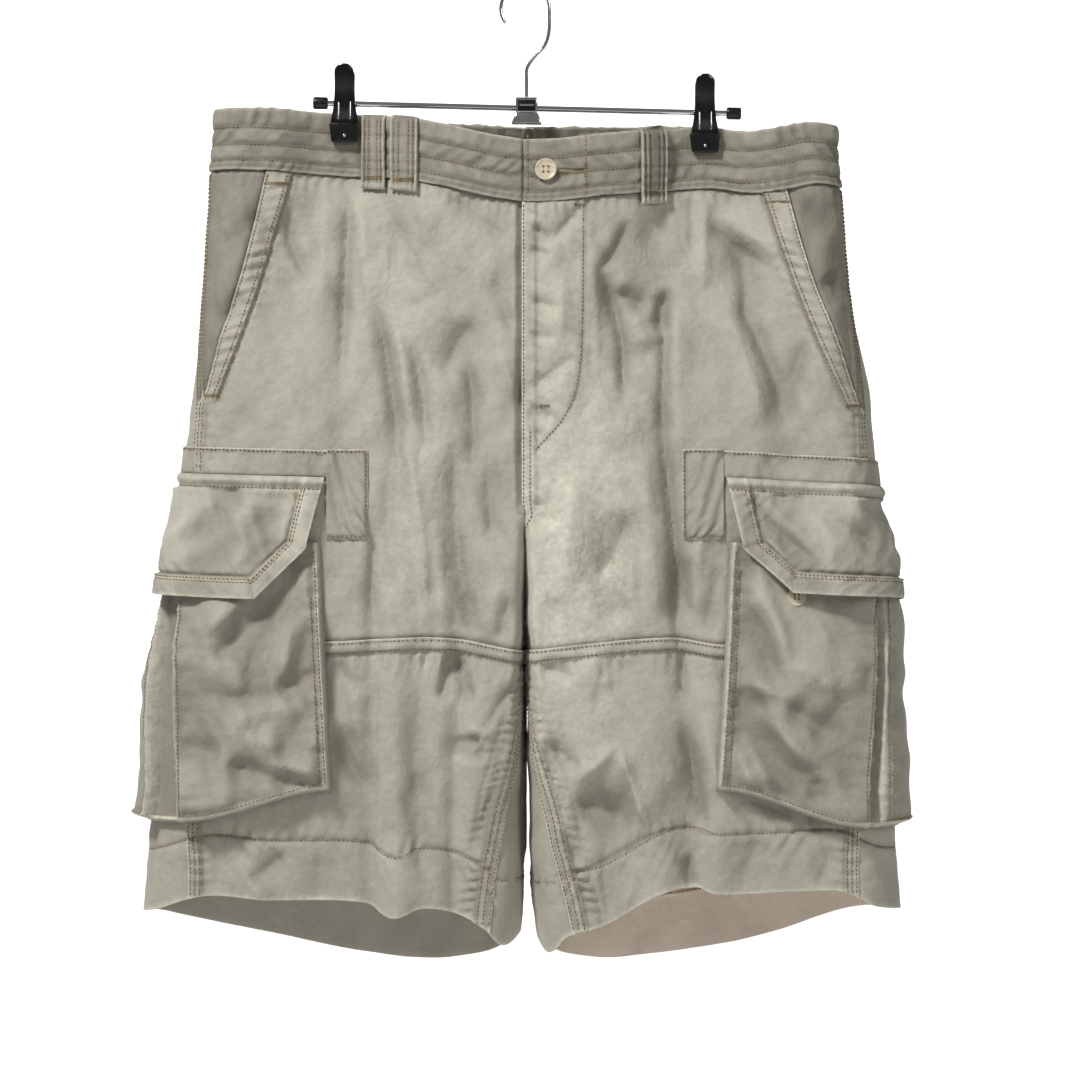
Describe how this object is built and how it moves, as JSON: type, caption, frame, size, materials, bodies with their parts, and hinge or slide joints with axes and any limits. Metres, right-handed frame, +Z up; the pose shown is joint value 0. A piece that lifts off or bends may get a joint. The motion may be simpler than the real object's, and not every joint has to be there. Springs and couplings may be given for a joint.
{
  "type": "cargo shorts on a clip hanger",
  "caption": "Knee-length cargo shorts with slanted hand pockets and flapped side pockets, hanging by the waistband from a clip hanger.",
  "frame": {"origin": "inside top of the hanger's hook, where a rail carries it", "axes": "+Z up, +Y to the back of the garment, +X to the wearer's left"},
  "size_m": [0.5742, 0.1144, 0.7276],
  "materials": {
    "twill": "washed cotton twill, matt, paler along edges and seams",
    "twill_trim": "the same twill doubled and topstitched",
    "button": "cream resin, softly polished",
    "chrome": "bright plated steel",
    "lever_black": "gloss black enamel on pressed steel",
    "pad_black": "moulded black rubber, slightly shiny"
  },
  "bodies": {
    "root": {"front_right_upper": "twill", "front_right_lower": "twill", "back_right": "twill", "cargo_bag_right": "twill", "cargo_flap_right": "twill", "waistband_right": "twill_trim", "hip_right": "twill_trim", "hand_pocket_band_right": "twill_trim", "cargo_flap_border_right": "twill_trim", "cargo_strip_right": "twill_trim", "cargo_tab_right": "twill_trim", "cargo_button_right_front": "button", "clip_lever_right_front": "lever_black", "clip_pad_right_front": "pad_black", "cargo_button_right_back": "button", "clip_lever_right_back": "lever_black", "clip_pad_right_back": "pad_black", "clip_spring_right": "chrome", "rod_cap_right": "pad_black", "front_left_upper": "twill", "front_left_lower": "twill", "back_left": "twill", "cargo_bag_left": "twill", "cargo_flap_left": "twill", "waistband_left": "twill_trim", "hip_left": "twill_trim", "hand_pocket_band_left": "twill_trim", "cargo_flap_border_left": "twill_trim", "cargo_strip_left": "twill_trim", "cargo_tab_left": "twill_trim", "cargo_button_left_front": "button", "clip_lever_left_front": "lever_black", "clip_pad_left_front": "pad_black", "cargo_button_left_back": "button", "clip_lever_left_back": "lever_black", "clip_pad_left_back": "pad_black", "clip_spring_left": "chrome", "rod_cap_left": "pad_black", "fly_facing": "twill_trim", "belt_loop_front_right_outer": "twill_trim", "belt_loop_front_right_inner": "twill_trim", "belt_loop_front_left": "twill_trim", "belt_loop_back_right": "twill_trim", "belt_loop_back_middle": "twill_trim", "belt_loop_back_left": "twill_trim", "waist_button": "button", "hook": "chrome", "rod": "chrome", "swivel": "chrome"}
  },
  "joints": []
}
